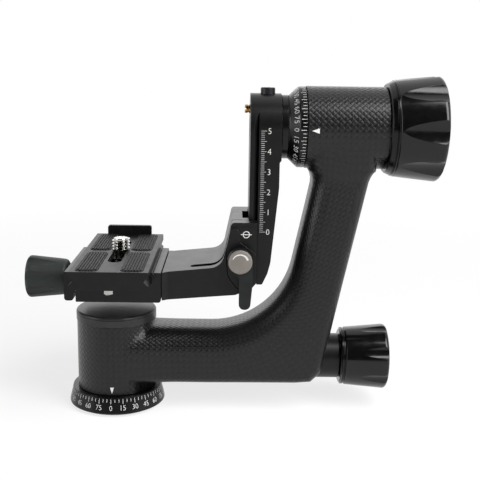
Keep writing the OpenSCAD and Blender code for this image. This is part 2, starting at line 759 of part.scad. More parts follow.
module pad_area(grow) {
    for (s = [-1, 1], span = pad_spans) {
        a = plate_x + s * pad_in;
        b = plate_x + s * pad_out;
        x0 = min(a, b) - grow;
        x1 = max(a, b) + grow;
        polygon(rounded([[x0, span[0] - grow, 2.6], [x1, span[0] - grow, 2.6],
                         [x1, span[1] + grow, 2.6], [x0, span[1] + grow, 2.6]]));
    }
}

module qr_plate() {
    color("#232427") difference() {
        union() {
            along_y(plate_y0, plate_y1) polygon(rounded(concat(
                [for (p = plate_half()) [plate_x + p.x, p.y, p.z]],
                mirrored([for (p = plate_half()) [plate_x + p.x, p.y, p.z]], plate_x))));
            // lip that stops the camera from turning
            along_y(plate_y1 - 2.6, plate_y1) polygon(rounded([
                [plate_x - 12.4, plate_top - 1, 0], [plate_x + 12.4, plate_top - 1, 0],
                [plate_x + 12.4, plate_top + 5.3, 1.2], [plate_x - 12.4, plate_top + 5.3, 1.2]
            ]));
        }
        along_z(70, 90) slot_shape(3.4, slot_y0, slot_y1);
        along_z(70, slab_bottom) slot_shape(7.6, slot_y0 - 4.2, slot_y1 + 4.2);
        along_z(plate_top - 0.4, plate_top + 1) pad_area(0.1);
        for (y = plate_stop_y) rod_z(70, 75.6, 1.6, plate_x, y);
    }
}

module rubber_pads() {
    color("#151516") {
        along_z(plate_top - 0.35, plate_top + 0.25) pad_area(0);
        pitch = (pad_out - pad_in - 1.2) / pad_ribs;
        for (s = [-1, 1], span = pad_spans, i = [0:pad_ribs - 1]) {
            x = plate_x + s * (pad_in + 0.6 + (i + 0.5) * pitch);
            inset = i == 0 || i == pad_ribs - 1 ? 1.6 : 0.5;
            translate([x - 0.42, span[0] + inset, plate_top])
                cube([0.84, span[1] - span[0] - 2 * inset, 0.65]);
        }
    }
}

plate_stop_y = [-39.5, 45.2];

module plate_stops() {
    color("#b9bcc0") for (y = plate_stop_y) translate([plate_x, y, 0]) difference() {
        turned_z([[0, 69.3], [2, 69.3], [2.5, 69.8], [2.5, 71.7], [1.55, 71.7], [1.55, 75.4], [0, 75.4]]);
        translate([0, 0, 69]) hex_socket(2, 1.8);
    }
}

module screw_washer() {
    color("#d8d8d4") translate([plate_x, screw_y, 0]) ring_z(76.6, 77.3, 3.3, 7.1);
}

module camera_screw() {
    color("#c9cbcd") translate([plate_x, screw_y, 0]) difference() {
        turned_z([[0, 73.2], [6.4, 73.2], [7, 73.8], [7, 76], [6.6, 76.5], [3.15, 76.5], [3.15, 80.7],
                  [4.2, 81], [4.76, 81.6], [4.76, 86.4], [4.1, 87.1], [0, 87.1]]);
        translate([0, 0, 82.6]) hex_socket(4.8, 6);
        translate([-8, -0.7, 72]) cube([16, 1.4, 2.6]);
    }
}

// ---- pieces -------------------------------------------------------------------------

base_dial();
thread_insert();
base_screws();
pan_spindle();
brake_drum();
spindle_nut();
pan_inner_rings();
arm_shell();
pan_housing();
pan_outer_rings();
cap_ring();
top_cap();
pan_boss();
tilt_housing();
tilt_outer_rings();
pan_knob();
pan_knob_collar();
pan_knob_cap();
pan_lock_rod();
brake_shoe();
tilt_knob();
tilt_knob_collar();
tilt_knob_cap();
thrust_ring();
tilt_shaft();
tilt_inner_rings();
tilt_dial();
hub_neck();
swing_plate();
hub_screw();
shaft_screw();
stop_screws();
carriage();
clamp_body();
clamp_bolts();
rail_jaw();
jaw_pins();
cam_lever();
lever_cap();
lever_stud();
movable_jaw();
jaw_rods();
qr_knob();
qr_knob_cap();
qr_screw();
qr_plate();
rubber_pads();
plate_stops();
screw_washer();
camera_screw();
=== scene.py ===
import math

import bmesh
import bpy
from mathutils import Matrix, Vector


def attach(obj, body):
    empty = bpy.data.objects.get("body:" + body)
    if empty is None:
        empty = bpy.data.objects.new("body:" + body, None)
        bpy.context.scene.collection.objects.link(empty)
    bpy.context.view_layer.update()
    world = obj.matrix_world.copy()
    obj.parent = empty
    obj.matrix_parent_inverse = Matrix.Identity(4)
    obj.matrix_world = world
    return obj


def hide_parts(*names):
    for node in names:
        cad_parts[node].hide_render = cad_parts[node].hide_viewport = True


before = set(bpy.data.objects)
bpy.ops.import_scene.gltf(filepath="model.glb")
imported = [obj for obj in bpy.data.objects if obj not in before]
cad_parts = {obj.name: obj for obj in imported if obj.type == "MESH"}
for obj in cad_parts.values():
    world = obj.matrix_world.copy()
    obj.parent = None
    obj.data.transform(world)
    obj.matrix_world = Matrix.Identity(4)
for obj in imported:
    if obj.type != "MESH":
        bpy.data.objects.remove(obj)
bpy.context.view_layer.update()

# ---- camera ---------------------------------------------------------------------------------
# The head is seen square to its graduated side from just above its middle, through a
# long lens, with a small roll as the camera was held.
VIEW_PAN, VIEW_DOWN, VIEW_ROLL = 0.0125, 0.2103, 0.016
ahead = Vector((math.sin(VIEW_PAN) * math.cos(VIEW_DOWN), math.cos(VIEW_PAN) * math.cos(VIEW_DOWN),
                -math.sin(VIEW_DOWN)))
level = Vector((math.cos(VIEW_PAN), -math.sin(VIEW_PAN), 0))
rise = level.cross(ahead)
right = math.cos(VIEW_ROLL) * level + math.sin(VIEW_ROLL) * rise
top = math.cos(VIEW_ROLL) * rise - math.sin(VIEW_ROLL) * level
camera = bpy.data.objects.new("camera", bpy.data.cameras.new("camera"))
bpy.context.scene.collection.objects.link(camera)
camera.data.lens = 63.09
camera.data.sensor_width = 36
camera.data.clip_start = 0.01
camera.matrix_world = Matrix.Translation((0.05909, -0.42647, 0.17921)) @ Matrix(
    (right, top, -ahead)).transposed().to_4x4()
bpy.context.scene.camera = camera
bpy.context.scene.view_settings.view_transform = "Standard"


# ---- studio ---------------------------------------------------------------------------------
# A white sweep in a white room, with a large soft box high on the right, a narrow one low on
# the left, a weak one behind, and black felt in front and above that keeps gloss dark.
def linear(colour):
    """sRGB hex to linear red, green, blue and alpha 1."""
    parts = [int(colour[i:i + 2], 16) / 255 for i in (1, 3, 5)]
    return [p / 12.92 if p <= 0.04045 else ((p + 0.055) / 1.055) ** 2.4 for p in parts] + [1]


def add(tree, kind, inputs=None, **settings):
    """Adds a node; inputs are values, or sockets to link."""
    made = tree.nodes.new("ShaderNode" + kind)
    for key, value in settings.items():
        setattr(made, key, value)
    for key, value in (inputs or {}).items():
        if isinstance(value, bpy.types.NodeSocket):
            tree.links.new(value, made.inputs[key])
        else:
            made.inputs[key].default_value = value
    return made


def seen_or_mirrored(tree):
    """1 for rays from the camera, and for those in reflections or through glass."""
    path = add(tree, "LightPath").outputs
    both = add(tree, "Math", {0: path["Is Camera Ray"], 1: path["Is Glossy Ray"]},
               operation="MAXIMUM")
    return add(tree, "Math", {0: both.outputs[0], 1: path["Is Transmission Ray"]},
               operation="MAXIMUM").outputs[0]


world = bpy.data.worlds.new("white_room")
bpy.context.scene.world = world
world.use_nodes = True
room = world.node_tree
room.nodes.clear()
strength = add(room, "MapRange", {0: seen_or_mirrored(room), 3: 0.15, 4: 1.0})
sky = add(room, "Background", {"Color": (1, 1, 1, 1), "Strength": strength.outputs[0]})
room.links.new(sky.outputs[0], add(room, "OutputWorld").inputs[0])

bpy.ops.mesh.primitive_plane_add(size=8, location=(0, 0, -0.0002))
floor = bpy.context.object
floor.name = "floor"
paper = bpy.data.materials.new("white_paper_sweep")
paper.use_nodes = True
tree = paper.node_tree
tree.nodes.clear()
matt = add(tree, "BsdfDiffuse", {"Color": linear("#f2f2f2")})
glow = add(tree, "Emission", {"Color": (1, 1, 1, 1), "Strength": 1.0})
# Three quarters glow under the head, so that its shadow shows, and all glow from 0.6 m out.
away = add(tree, "VectorMath", {0: add(tree, "TexCoord").outputs["Object"]}, operation="LENGTH")
part = add(tree, "MapRange", {0: away.outputs["Value"], 1: 0.1, 2: 0.6, 3: 0.75, 4: 1.0})
share = add(tree, "Math", {0: seen_or_mirrored(tree), 1: part.outputs[0]}, operation="MULTIPLY")
both = add(tree, "MixShader", {0: share.outputs[0], 1: matt.outputs[0], 2: glow.outputs[0]})
tree.links.new(both.outputs[0], add(tree, "OutputMaterial").inputs[0])
floor.data.materials.append(paper)


def soft_box(name, place, aim, width, depth, watts):
    """A rectangular lamp that the camera doesn't see, pointed from place to aim."""
    lamp = bpy.data.lights.new(name, "AREA")
    lamp.shape = "RECTANGLE"
    lamp.size, lamp.size_y = width, depth
    lamp.energy = watts
    held = bpy.data.objects.new(name, lamp)
    bpy.context.scene.collection.objects.link(held)
    held.location = place
    held.rotation_euler = (Vector(aim) - Vector(place)).to_track_quat("-Z", "Y").to_euler()
    held.visible_camera = False


soft_box("right_box", (0.68, -0.5, 0.75), (0.1, 0, 0.12), 0.62, 1.1, 20)
soft_box("left_box", (-0.73, -0.36, 0.34), (0.08, 0, 0.08), 0.3, 0.5, 2.8)
soft_box("back_box", (0.05, 0.95, 0.42), (0.06, 0, 0.09), 1.3, 0.5, 1.4)

felt = bpy.data.materials.new("black_felt")
felt.use_nodes = True
felt.node_tree.nodes.clear()
nap = add(felt.node_tree, "BsdfDiffuse", {"Color": linear("#0c0c0c")})
felt.node_tree.links.new(nap.outputs[0], add(felt.node_tree, "OutputMaterial").inputs[0])
for name, place, tilt, size in (("black_card", (0.06, -1.75, 0.26), 90, (5, 0.44)),
                                ("black_ceiling", (0.06, -0.9, 1.16), 40, (5, 2.2))):
    bpy.ops.mesh.primitive_plane_add(size=1, location=place, rotation=(math.radians(tilt), 0, 0))
    card = bpy.context.object
    card.name = name
    card.data.transform(Matrix.Diagonal((*size, 1, 1)))
    card.data.materials.append(felt)
    card.visible_camera = card.visible_diffuse = card.visible_shadow = False


# ---- foot -----------------------------------------------------------------------------------
# The turned aluminium disc that the head stands on, black anodised, held to the spindle by
# four black oxide screws, with the steel insert for the tripod's stud pressed into it.
def new_finish(name, values):
    """A material of one Principled shader with these uniform values, its tree and shader."""
    made = bpy.data.materials.new(name)
    made.use_nodes = True
    tree = made.node_tree
    tree.nodes.clear()
    shader = add(tree, "BsdfPrincipled", values)
    tree.links.new(shader.outputs[0], add(tree, "OutputMaterial").inputs[0])
    return made, tree, shader


def dress(tree, shader, mix, colours, rough, relief, strength, distance, bevel=None, samples=4):
    """Gives a shader two mixed colours, a roughness and a fine relief with softened edges."""
    tone = add(tree, "MixRGB", {0: mix, 1: linear(colours[0]), 2: linear(colours[1])})
    tree.links.new(tone.outputs[0], shader.inputs["Base Color"])
    tree.links.new(rough, shader.inputs["Roughness"])
    bump = add(tree, "Bump", {"Strength": strength, "Distance": distance, "Height": relief})
    if bevel:
        edge = add(tree, "Bevel", {"Radius": bevel}, samples=samples)
        tree.links.new(edge.outputs[0], bump.inputs["Normal"])
    tree.links.new(bump.outputs[0], shader.inputs["Normal"])


def lathe_rings(tree, spacing, middle=(0, 0, 0), turn=(0, 0, 0)):
    """Fine rings about an axis, 0 to 1, as a tool's feed leaves them. They are spaced wider than
    real ones, which would be too fine to show."""
    place = add(tree, "TexCoord").outputs["Object"]
    moved = add(tree, "VectorMath", {0: place, 1: middle}, operation="SUBTRACT")
    turned = add(tree, "VectorRotate", {"Vector": moved.outputs[0], "Rotation": turn},
                 rotation_type="EULER_XYZ")
    parts = add(tree, "SeparateXYZ", {0: turned.outputs[0]})
    flat = add(tree, "CombineXYZ", {0: parts.outputs[0], 1: parts.outputs[1]})
    radius = add(tree, "VectorMath", {0: flat.outputs[0]}, operation="LENGTH")
    section = add(tree, "CombineXYZ", {0: radius.outputs["Value"], 2: parts.outputs[2]})
    return add(tree, "TexNoise", {"Vector": section.outputs[0], "Scale": 1 / spacing,
                                  "Detail": 2.0, "Roughness": 0.6}).outputs[0]


def clouds(tree, size, low, high, detail=3.0):
    """Soft cloudy variation from low to high, with blots of about that size in metres."""
    noise = add(tree, "TexNoise", {"Vector": add(tree, "TexCoord").outputs["Object"],
                                   "Scale": 1 / size, "Detail": detail})
    return add(tree, "MapRange", {0: noise.outputs[0], 1: 0.3, 2: 0.7, 3: low, 4: high}).outputs[0]


def wear_to(nodes, material):
    """Gives the CAD nodes of these names this material."""
    for name in nodes:
        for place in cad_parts[name].material_slots:
            place.material = material


def anodised(name, colour, worn, rough, grain=None, lathe=None):
    """Dyed anodised aluminium: a dark body, a dull sheen, and a slightly broken edge. The metal
    under the dye is blasted, with a grain drawn coarse enough to show, or has lathe rings."""
    made, tree, shader = new_finish(name, {"Specular IOR Level": 0.26, "Metallic": 0.0})
    relief = lathe_rings(tree, *lathe) if lathe else clouds(tree, grain, 0, 1, 1.0)
    dress(tree, shader, clouds(tree, 0.006, 0, 1), (colour, worn),
          clouds(tree, 0.008, rough - 0.02, rough + 0.02), relief, 0.18, 0.00004, 0.00022)
    return made


def turned_metal(name, colour, tint, rough, *lathe):
    """Bare turned or ground metal: fine rings that pull each highlight out along them."""
    made, tree, shader = new_finish(name, {"Metallic": 1.0})
    rings = lathe_rings(tree, *lathe)
    duller = add(tree, "MapRange", {0: rings, 1: 0.3, 2: 0.7, 3: rough - 0.06, 4: rough + 0.08})
    dress(tree, shader, rings, (colour, tint), duller.outputs[0], rings, 0.25, 0.00003, 0.00015)
    return made


# Lathe rings 0.25 mm apart under the dye: near black face on, grey where light grazes it.
DIAL_FEED = 0.00025
dial_black = anodised("dial_black_anodised_turned", "#070708", "#0d0d0e", 0.24,
                      lathe=(DIAL_FEED,))
wear_to(["base_dial"], dial_black)
insert_steel = turned_metal("insert_turned_steel", "#b9babb", "#9c9da0", 0.3, 0.0002)
wear_to(["thread_insert"], insert_steel)

# Black oxide on a steel screw: blue-black, oily, with a soft bright edge.
screw_black, tree, shader = new_finish("screw_black_oxide",
                                       {"Metallic": 0.6, "Specular IOR Level": 0.4})
dress(tree, shader, clouds(tree, 0.0012, 0, 1), ("#1d1d20", "#2b2b2e"),
      clouds(tree, 0.0006, 0.28, 0.42), clouds(tree, 0.0002, 0, 1, 1.0), 0.15, 0.00003, 0.00012)
wear_to(["base_screws"], screw_black)


# ---- degree marks on the foot ---------------------------------------------------------------
# White paint in shallow engraving round the disc's cone: a tick each 5 degrees, a longer
# one each 15, and numbers that count to 75 and start again each quarter turn.
# Flat white, with no gloss of its own and a little uneven where the paint settled.
white_ink, tree, shader = new_finish("white_paint_filled_engraving", {"Specular IOR Level": 0.3})
dress(tree, shader, clouds(tree, 0.0004, 0, 1), ("#d6d6d3", "#c2c2bf"),
      clouds(tree, 0.0003, 0.5, 0.7), clouds(tree, 0.0001, 0, 1), 0.2, 0.00002)
PAINT = 0.00006


def pick_edges(obj, wanted):
    """In edit mode, selects only the edges that wanted is true of."""
    bpy.ops.mesh.select_all(action="DESELECT")
    mesh = bmesh.from_edit_mesh(obj.data)
    for edge in mesh.edges:
        edge.select_set(wanted(edge))
    bmesh.update_edit_mesh(obj.data)


def extent(edge):
    """An edge's length along X, Y and Z."""
    return Vector([abs(part) for part in edge.verts[0].co - edge.verts[1].co])


def bar(name, length, width, cuts=0):
    """A flat bar with rounded ends, centred, long in Y, as thick as the paint in Z."""
    bpy.ops.object.select_all(action="DESELECT")
    bpy.ops.mesh.primitive_cube_add(size=1)
    made = bpy.context.object
    made.name = made.data.name = name
    made.data.transform(Matrix.Diagonal((width, length, PAINT, 1)))
    bpy.ops.object.mode_set(mode="EDIT")
    pick_edges(made, lambda edge: extent(edge).z > 1e-6)
    bpy.ops.mesh.bevel(offset=width * 0.3, segments=2, affect="EDGES")
    if cuts:
        pick_edges(made, lambda edge: extent(edge).y > length / 2)
        bpy.ops.mesh.subdivide(number_cuts=cuts)
    bpy.ops.object.mode_set(mode="OBJECT")
    return made


FIGURE_SHARE, THINNER = 0.7, -0.013


def lettering(name, words, height, squeeze=1.0):
    """Plain upright figures, centred, in X across and Y up, as thick as the paint in Z.
    FIGURE_SHARE is a figure's height as a share of the type's size, and THINNER, in the same
    share, is what each stroke's outline is drawn in by."""
    bpy.ops.object.select_all(action="DESELECT")
    bpy.ops.object.text_add()
    made = bpy.context.object
    made.name = name
    made.data.body = words
    made.data.extrude = PAINT / 2 * FIGURE_SHARE / height
    made.data.align_x = "CENTER"
    made.data.resolution_u = 3
    made.data.offset = THINNER
    bpy.ops.object.convert(target="MESH")
    low = min(v.co.y for v in made.data.vertices)
    high = max(v.co.y for v in made.data.vertices)
    left = min(v.co.x for v in made.data.vertices)
    right = max(v.co.x for v in made.data.vertices)
    scale = height / (high - low)
    for v in made.data.vertices:
        v.co = ((v.co.x - (left + right) / 2) * scale * squeeze,
                (v.co.y - (low + high) / 2) * scale, math.copysign(PAINT / 2, v.co.z))
    bpy.ops.object.mode_set(mode="EDIT")
    bpy.ops.mesh.select_all(action="SELECT")
    bpy.ops.mesh.remove_doubles(threshold=0.000002)
    bpy.ops.mesh.normals_make_consistent(inside=False)
    bpy.ops.object.mode_set(mode="OBJECT")
    return made


def set_on(obj, where):
    """Takes each vertex from across, up and proud to the point that where gives for them."""
    for v in obj.data.vertices:
        v.co = where(*v.co)
    obj.data.update()


def twin(obj):
    """A copy of a finished shape with its own mesh."""
    made = obj.copy()
    made.data = obj.data.copy()
    bpy.context.scene.collection.objects.link(made)
    return made


def as_one(name, objects, material, body):
    """Joins these into one piece that rides on a body."""
    bpy.ops.object.select_all(action="DESELECT")
    for obj in objects:
        obj.select_set(True)
    bpy.context.view_layer.objects.active = objects[0]
    bpy.ops.object.join()
    made = bpy.context.object
    made.name = made.data.name = name
    made.data.materials.clear()
    made.data.materials.append(material)
    bpy.ops.object.mode_set(mode="EDIT")
    bpy.ops.mesh.select_all(action="SELECT")
    bpy.ops.mesh.normals_make_consistent(inside=False)
    bpy.ops.object.mode_set(mode="OBJECT")
    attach(made, body)
    return made


def on_foot(turn):
    """Places on the foot's cone, at this many degrees from the front towards +X."""
    foot_z, foot_radius, lean = 0.0021, 0.025, 0.2384
    up_cone, out_of_cone, mark_z, mark_radius, turned_back = 0.973, 0.23, 0.0066, 0.0244, 1

    def where(across, up, proud):
        height = mark_z + up * up_cone
        radius = foot_radius - (height - foot_z) * lean + proud * up_cone
        angle = math.radians(turn - turned_back) + across / mark_radius
        return (radius * math.sin(angle), -radius * math.cos(angle),
                height + proud * out_of_cone)
    return where


def raised(by, where):
    """The same places, this much higher up."""
    return lambda across, up, proud: where(across, up + by, proud)


def degree_marks(ticks, long_ticks, figures):
    """Marks all round a dial. Each kind is its shape, its height and its place at an angle;
    the shape of a figure is found by its number."""
    made = []
    for turn in range(0, 360, 5):
        kinds = [long_ticks, figures] if turn % 15 == 0 else [ticks]
        for shape, up, place in kinds:
            mark = twin(shape[turn % 90] if isinstance(shape, dict) else shape)
            set_on(mark, raised(up, place(turn)))
            made.append(mark)
    for obj in [ticks[0], long_ticks[0], *figures[0].values()]:
        bpy.data.objects.remove(obj)
    return made


def dial_figures(name, height):
    """The figures of a dial, by number: 0 to 75 in steps of 15."""
    return {n: lettering(name, str(n), height, 0.95) for n in range(0, 90, 15)}


foot_figures = dial_figures("foot_figure", 0.0025)
foot_marks = degree_marks((bar("foot_tick", 0.00162, 0.00022), 0.00169, on_foot),
                          (bar("foot_long_tick", 0.00243, 0.00022), 0.00129, on_foot),
                          (foot_figures, -0.00197, on_foot))
as_one("foot_degree_marks", foot_marks, white_ink, "base")


# ---- pan spindle, brake drum and bearings ---------------------------------------------------
# The turned steel spindle that stands in the foot, the drum that the shoe presses on, the
# nut on its top, and the ground rings of the two ball bearings with their races.
wear_to(["pan_spindle", "spindle_nut"],
        turned_metal("spindle_turned_steel", "#b4b5b7", "#9a9b9e", 0.3, 0.0002))
wear_to(["brake_drum"], turned_metal("drum_oiled_steel", "#8b8c8f", "#77787b", 0.38, 0.0003))
wear_to(["pan_inner_rings", "pan_outer_rings"],
        turned_metal("bearing_ground_steel", "#cfd0d1", "#bcbdbf", 0.16, 0.00012))


# ---- carbon arm -----------------------------------------------------------------------------
# One moulding that runs from a tube round the pan spindle, through a swept elbow, up
# to a tube round the tilt shaft. Its skin is cloth laid at 45 degrees under clear resin.
def copy_of(node, name):
    """A copy of a CAD node with its own merged mesh, free to be cut or unwrapped."""
    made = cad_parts[node].copy()
    made.data = made.data.copy()
    bpy.context.scene.collection.objects.link(made)
    made.parent = None
    made.matrix_world = Matrix.Identity(4)
    made.name = made.data.name = name
    for key in [k for k in made.keys() if k.startswith("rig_")]:
        del made[key]
    bpy.ops.object.select_all(action="DESELECT")
    made.select_set(True)
    bpy.context.view_layer.objects.active = made
    bpy.ops.object.mode_set(mode="EDIT")
    bpy.ops.mesh.select_all(action="SELECT")
    bpy.ops.mesh.remove_doubles(threshold=0.00001)
    bpy.ops.object.mode_set(mode="OBJECT")
    return made


arm = copy_of("arm_shell", "arm_weave")
bpy.ops.object.shade_smooth_by_angle(angle=math.radians(32))

# The arm's form in mm: the tubes' radius, the level part's top, half depth and middle, the
# elbow's centre with its inner and middle radius, the tilt axis, and the riser's lean.
TUBE, ARM_TOP, ARM_HALF, ARM_MID = 20.5, 43, 17, 14
ELBOW_X, ELBOW_Z, ELBOW_IN, ELBOW_MID = 49.98, 85.5, 42.5, 56.5
TILT_MM = 146.85
LEAN = math.radians(11.7)
# Where each tube's own cloth begins, how near a tube's radius a face lies to be on it, and the
# half width of the inner side's flat middle, where depth adds nothing to the distance round.
TILT_TUBE_Z, TILT_TUBE_X, PAN_TUBE_Z, PAN_TUBE_X = 122, 118, 47, 3
NEAR, FLAT = 0.4, 8


def round_tube(across, up, middle_across, middle_up):
    """Distance round a tube, on the same side of the cloth's seam as the face's middle."""
    turn, mid = math.atan2(across, up), math.atan2(middle_across, middle_up)
    return (turn + 2 * math.pi * round((mid - turn) / (2 * math.pi))) * TUBE


def cloth_place(point, middle):
    """Distance along the arm and round it, in mm, of a point on the face with that middle."""
    x, y, z = point
    on_tilt_tube = abs(math.hypot(middle.y, middle.z - TILT_MM) - TUBE) < NEAR
    if middle.z > TILT_TUBE_Z and on_tilt_tube or middle.x > TILT_TUBE_X:
        return x, round_tube(y, z - TILT_MM, middle.y, middle.z - TILT_MM)
    on_pan_tube = abs(math.hypot(middle.x, middle.y) - TUBE) < NEAR
    if on_pan_tube and middle.z < PAN_TUBE_Z or middle.x < PAN_TUBE_X:
        return z, round_tube(y, -x, middle.y, -middle.x)
    bend = math.atan2(x - ELBOW_X, ELBOW_Z - z)
    if x < ELBOW_X and z < ELBOW_Z:
        along, deep = x - ELBOW_X, ARM_TOP - z
    elif bend < math.pi / 2 - LEAN:
        along, deep = bend * ELBOW_MID, math.hypot(x - ELBOW_X, z - ELBOW_Z) - ELBOW_IN
    else:
        dx, dz = x - ELBOW_X, z - ELBOW_Z
        along = (math.pi / 2 - LEAN) * ELBOW_MID + dx * math.sin(LEAN) + dz * math.cos(LEAN)
        deep = dx * math.cos(LEAN) - dz * math.sin(LEAN) - ELBOW_IN
    if deep < ARM_MID:
        return along, y + math.copysign(deep, y) if abs(y) > FLAT else y
    return along, math.copysign(2 * ARM_HALF - abs(y) + deep, middle.y)


sheet = arm.data.uv_layers.new(name="weave")
for face in arm.data.polygons:
    middle = face.center * 1000
    for corner in face.loop_indices:
        point = arm.data.vertices[arm.data.loops[corner].vertex_index].co * 1000
        sheet.data[corner].uv = cloth_place(point, middle)
arm.data.uv_layers.active = sheet

# Plain weave of 2.1 mm tows. Each tow arches over the next one, so next to a highlight the
# cloth breaks up into light and dark dashes, and on the flat sides it nearly goes.
carbon, tree, shader = new_finish("carbon_plain_weave_clear_coat", {
    "Specular IOR Level": 0.24, "Coat Weight": 0.3, "Coat Roughness": 0.26, "Coat IOR": 1.4})
TOW = 2.1
across_tows = 1 / TOW / math.sqrt(2)
cloth = add(tree, "SeparateXYZ", {0: add(tree, "UVMap", uv_map="weave").outputs[0]}).outputs
summed = add(tree, "Math", {0: cloth[0], 1: cloth[1]}, operation="ADD").outputs[0]
differed = add(tree, "Math", {0: cloth[0], 1: cloth[1]}, operation="SUBTRACT").outputs[0]
warp = add(tree, "Math", {0: summed, 1: across_tows}, operation="MULTIPLY").outputs[0]
weft = add(tree, "Math", {0: differed, 1: across_tows}, operation="MULTIPLY").outputs[0]
rows, crowns, arches, strands = [], [], [], []
for tow, other in ((warp, weft), (weft, warp)):
    rows.append(add(tree, "Math", {0: tow}, operation="FLOOR").outputs[0])
    part = add(tree, "Math", {0: tow}, operation="FRACT").outputs[0]
    half_turn = add(tree, "Math", {0: part, 1: math.pi}, operation="MULTIPLY").outputs[0]
    arches.append(add(tree, "Math", {0: half_turn}, operation="SINE").outputs[0])
    crowns.append(add(tree, "Math", {0: arches[-1], 1: 0.4}, operation="POWER").outputs[0])
    lengthways = add(tree, "Math", {0: other, 1: 0.5}, operation="MULTIPLY").outputs[0]
    sideways = add(tree, "Math", {0: tow, 1: 14.0}, operation="MULTIPLY").outputs[0]
    grain = add(tree, "CombineXYZ", {0: lengthways, 1: sideways}).outputs[0]
    strands.append(add(tree, "TexNoise", {"Vector": grain, "Scale": 1.0,
                                          "Detail": 2.0}).outputs[0])
both_rows = add(tree, "Math", {0: rows[0], 1: rows[1]}, operation="ADD").outputs[0]
odd = add(tree, "Math", {0: both_rows, 1: 2.0}, operation="FLOORED_MODULO").outputs[0]
crown = add(tree, "Mix", {0: odd, 2: crowns[0], 3: crowns[1]}).outputs[0]
arch = add(tree, "Mix", {0: odd, 2: arches[1], 3: arches[0]}).outputs[0]
strand = add(tree, "Mix", {0: odd, 2: strands[0], 3: strands[1]}).outputs[0]
# The tows that run one way are painted a shade lighter than those crossing them: a painted sheen
# for the light each tow catches by its direction. The strands' noise on top is the fibres' own
# grain.
tow_painted_sheen = add(tree, "MixRGB", {0: odd, 1: linear("#101011"), 2: linear("#151517")}).outputs[0]
dim = add(tree, "MapRange", {0: strand, 1: 0.3, 2: 0.7, 3: 0.8, 4: 1.15}).outputs[0]
lit = add(tree, "MixRGB", {0: 1.0, 1: tow_painted_sheen, 2: dim}, blend_type="MULTIPLY")
tree.links.new(lit.outputs[0], shader.inputs["Base Color"])
gloss = add(tree, "MapRange", {0: odd, 3: 0.33, 4: 0.38})
tree.links.new(gloss.outputs[0], shader.inputs["Roughness"])
pillow = add(tree, "Math", {0: crown, 1: arch}, operation="MULTIPLY").outputs[0]
strand_part = add(tree, "Math", {0: strand, 1: 0.06}, operation="MULTIPLY").outputs[0]
height = add(tree, "Math", {0: pillow, 1: strand_part}, operation="ADD").outputs[0]
edge = add(tree, "Bevel", {"Radius": 0.0003}, samples=4)
bump = add(tree, "Bump", {"Strength": 1.0, "Distance": 0.00014, "Height": height,
                          "Normal": edge.outputs[0]})
tree.links.new(bump.outputs[0], shader.inputs["Normal"])
tree.links.new(edge.outputs[0], shader.inputs["Coat Normal"])
arm.data.materials.clear()
arm.data.materials.append(carbon)
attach(arm, "arm")
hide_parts("arm_shell")


# ---- sleeves, cap and boss of the arm -------------------------------------------------------
# Plain machined aluminium sleeves bonded into both tubes carry the bearings. The pan tube is
# closed by a black anodised ring and a domed cap; a boss in the elbow's foot guides the lock.
# Bare aluminium off the lathe: pale, with soft highlights drawn out along the rings.
sleeve, tree, shader = new_finish("sleeve_machined_aluminium", {"Metallic": 1.0})
rings = lathe_rings(tree, 0.0003)
dress(tree, shader, rings, ("#c3c5c8", "#adb0b4"), clouds(tree, 0.002, 0.3, 0.42),
      rings, 0.25, 0.00003, 0.0002)
wear_to(["pan_housing", "tilt_housing"], sleeve)
cap_black = anodised("cap_black_anodised_blasted", "#262627", "#2d2d2e", 0.3, 0.0003)
wear_to(["cap_ring", "top_cap"], cap_black)
body_black = anodised("body_black_hard_anodised", "#0a0a0b", "#0f0f10", 0.33, 0.00035)
wear_to(["pan_boss"], body_black)
TILT_Z = 0.14685
ALONG_X = (0, math.pi / 2, 0)
TILT_AXIS = (0, 0, TILT_Z), ALONG_X
wear_to(["tilt_outer_rings", "tilt_inner_rings"], turned_metal(
    "tilt_bearing_ground_steel", "#cfd0d1", "#bcbdbf", 0.16, 0.00012, *TILT_AXIS))


# ---- pointers on the tubes ------------------------------------------------------------------
# One white triangle on each carbon tube, printed beside its dial and read against it. The
# lower one stands above the foot's dial and the upper one lies to the right of the tilt dial.
def pointer(name, width, length, where, body):
    """A white triangle, as thick as the paint, with its tip where across and up are 0."""
    bpy.ops.object.select_all(action="DESELECT")
    bpy.ops.mesh.primitive_cylinder_add(vertices=3, radius=1, depth=PAINT)
    made = bpy.context.object
    made.data.transform(Matrix.Diagonal((width / math.sqrt(3), length / 1.5, 1, 1)))
    made.data.transform(Matrix.Rotation(math.pi, 4, "Z"))
    bpy.ops.object.mode_set(mode="EDIT")
    pick_edges(made, lambda edge: extent(edge).z > 1e-6)
    bpy.ops.mesh.bevel(offset=0.00008, segments=2, affect="EDGES")
    bpy.ops.object.mode_set(mode="OBJECT")
    low = min(v.co.y for v in made.data.vertices)
    for v in made.data.vertices:
        v.co.y -= low
    set_on(made, where)
    as_one(name, [made], white_ink, body)


TUBE_RADIUS = 0.0205
PAN_TIP_Z, PAN_TIP_TURN, TILT_TIP_X, TILT_TIP_TURN = 0.01095, -0.01, 0.098, 0.012


def on_pan_tube(across, up, proud):
    """Places on the lower tube, up from the pointer's tip just above the foot's dial."""
    angle = across / TUBE_RADIUS + PAN_TIP_TURN
    radius = TUBE_RADIUS + proud
    return (radius * math.sin(angle), -radius * math.cos(angle), PAN_TIP_Z + up)


def on_tilt_tube(across, up, proud):
    """Places on the upper tube, out from the pointer's tip beside the tilt dial."""
    angle = across / TUBE_RADIUS + TILT_TIP_TURN
    radius = TUBE_RADIUS + proud
    return (TILT_TIP_X + up, -radius * math.cos(angle), TILT_Z - radius * math.sin(angle))


pointer("pan_pointer", 0.0019, 0.0034, on_pan_tube, "arm")
pointer("tilt_pointer", 0.0025, 0.0037, on_tilt_tube, "arm")


